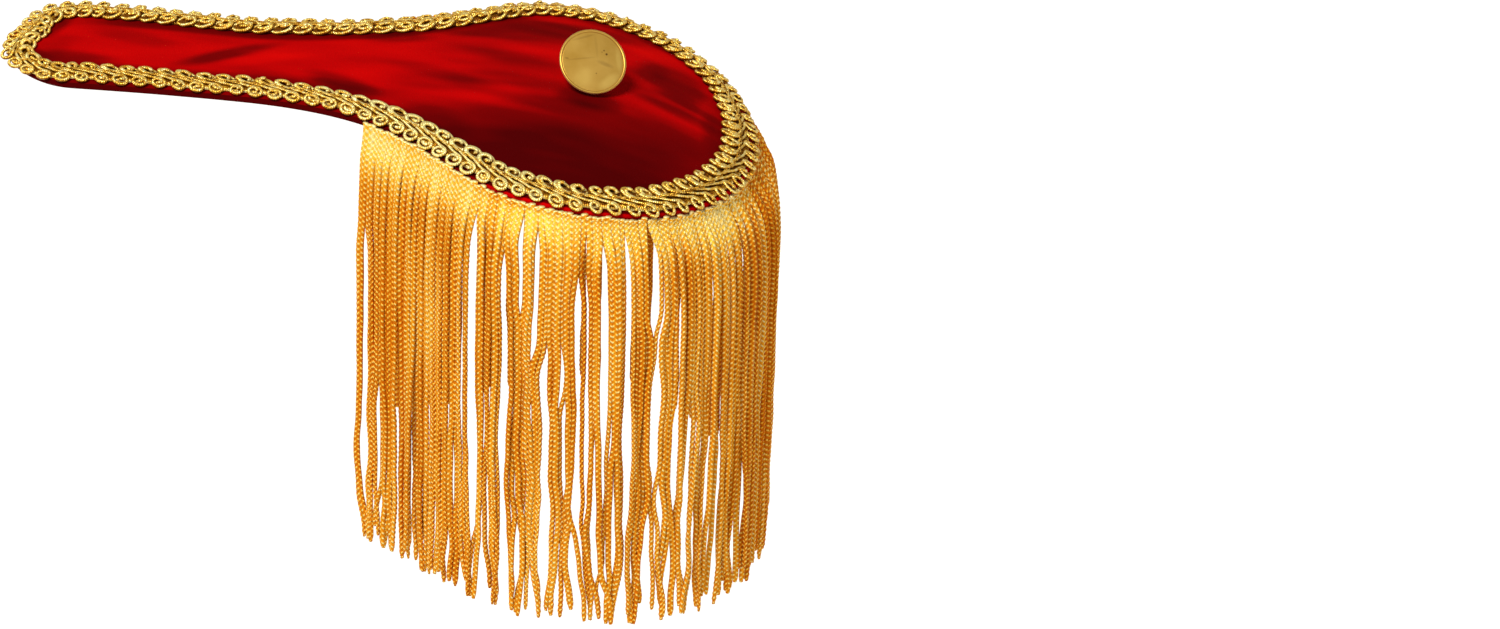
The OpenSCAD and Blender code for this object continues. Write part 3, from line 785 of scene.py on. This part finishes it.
# The rolled rim is smoother, polished by wear, and has a painted highlight, pale and pinkish as a
# painted reflection of the velvet
rim = brass.tone()
metal = brass.mix(rim, metal, (0.86, 0.52, 0.28))
dull = brass.calc("MULTIPLY_ADD", cloud, 0.10, brass.calc("MULTIPLY_ADD", rim, -0.12, 0.34))
brass.put(brass.shader, {"Base Color": metal, "Metallic": 0.7, "Specular Tint": (1.0, 0.8, 0.5, 1),
                         "Roughness": dull})
brass.bump(cloud, 0.0001, 0.2)
# The rim's share of painted highlight and smoothness
on_rim = np.zeros(len(profile))
on_rim[back_rows + 2:back_rows + 11] = 0.8
button = make_piece("brass_button", shell_rings[None], brass.material,
                    tone=on_rim[None, :, None], merge=True)
shank = make_piece("button_shank", shank_rings[None], brass.material, tone=0.0, merge=True)
for piece in (button, shank):
    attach(piece, "root")
    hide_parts("button")

# The bar pin. A nickel-plated steel bar with a fixed pin, sewn under the board, which holds the
# epaulette on the shoulder. It keeps the CAD model's shape.
steel = Finish("nickel_plated_steel")
place = steel.add("TexCoord").outputs["Object"]
grain = steel.noise(place, 900.0, stretch=(0.05, 1.0, 1.0))
plate = steel.ramp(grain, [(0.3, (0.50, 0.49, 0.46)), (0.7, (0.68, 0.67, 0.64))])
steel.put(steel.shader, {"Base Color": plate, "Metallic": 1.0,
                         "Roughness": steel.calc("MULTIPLY_ADD", grain, 0.2, 0.2)})
steel.bump(grain, 0.00005, 0.4)
pin_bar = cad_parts["pin_bar"]
for slot in pin_bar.material_slots:
    slot.material = steel.material

# The studio: a pale floor well below the cords, a sun-like soft light above and in front at the
# left, a weaker one at the right, and a pale sky.
floor_mesh = bpy.data.meshes.new("floor")
floor_half, floor_z = 6, -0.62
corners = [(x * floor_half, y * floor_half, floor_z) for x, y in ((-1, -1), (1, -1), (1, 1), (-1, 1))]
floor_mesh.from_pydata(corners, [], [(0, 1, 2, 3)])
floor = bpy.data.objects.new("floor", floor_mesh)
bpy.context.collection.objects.link(floor)
paper = Finish("pale_paper")
paper.put(paper.shader, {"Base Color": (0.94, 0.94, 0.935, 1), "Roughness": 0.9,
                         "Specular IOR Level": 0.1})
floor_mesh.materials.append(paper.material)


def turn_to(back, roll=0.0):
    """The turn of a lamp or camera whose back points along back, rolled about it."""
    back = np.asarray(back) / np.linalg.norm(back)
    level = np.cross([0, 0, 1], back)
    level /= np.linalg.norm(level)
    upright = np.cross(back, level)
    side = math.cos(roll) * level + math.sin(roll) * upright
    up = math.cos(roll) * upright - math.sin(roll) * level
    return Matrix(np.stack([side, up, back], 1).tolist()).to_euler()


def soft_sun(name, back, width, power, colour):
    """A light from far away along back, as wide as width degrees of the sky."""
    lamp = bpy.data.lights.new(name, "SUN")
    lamp.angle, lamp.energy, lamp.color = math.radians(width), power, colour
    holder = bpy.data.objects.new(name, lamp)
    bpy.context.collection.objects.link(holder)
    holder.rotation_euler = turn_to(back)


soft_sun("key_light", (-0.36, -0.72, 1.25), 20, 3.4, (1.0, 0.985, 0.95))
soft_sun("fill_light", (0.9, -0.9, 0.6), 40, 0.35, (1.0, 0.99, 0.97))
sky = bpy.data.worlds.new("pale_sky")
sky.use_nodes = True
sky.node_tree.nodes["Background"].inputs["Color"].default_value = (1.0, 0.99, 0.97, 1)
sky.node_tree.nodes["Background"].inputs["Strength"].default_value = 0.30
bpy.context.scene.world = sky
bpy.context.scene.view_settings.view_transform = "Standard"

# The camera, 30 degrees above the epaulette and rolled by 2 degrees, as fitted to the outlines
azimuth, elevation, distance = math.radians(3.885), math.radians(30.122), 1.2445
back = np.array([math.sin(azimuth) * math.cos(elevation), -math.cos(azimuth) * math.cos(elevation),
                 math.sin(elevation)])
lens = bpy.data.cameras.new("camera")
lens.lens, lens.sensor_width = 101.51, 36.0
camera = bpy.data.objects.new("camera", lens)
bpy.context.collection.objects.link(camera)
camera.location = (np.array([0.10893, 0.0, -0.0719]) + back * distance).tolist()
camera.rotation_euler = turn_to(back, math.radians(2.24))
bpy.context.scene.camera = camera
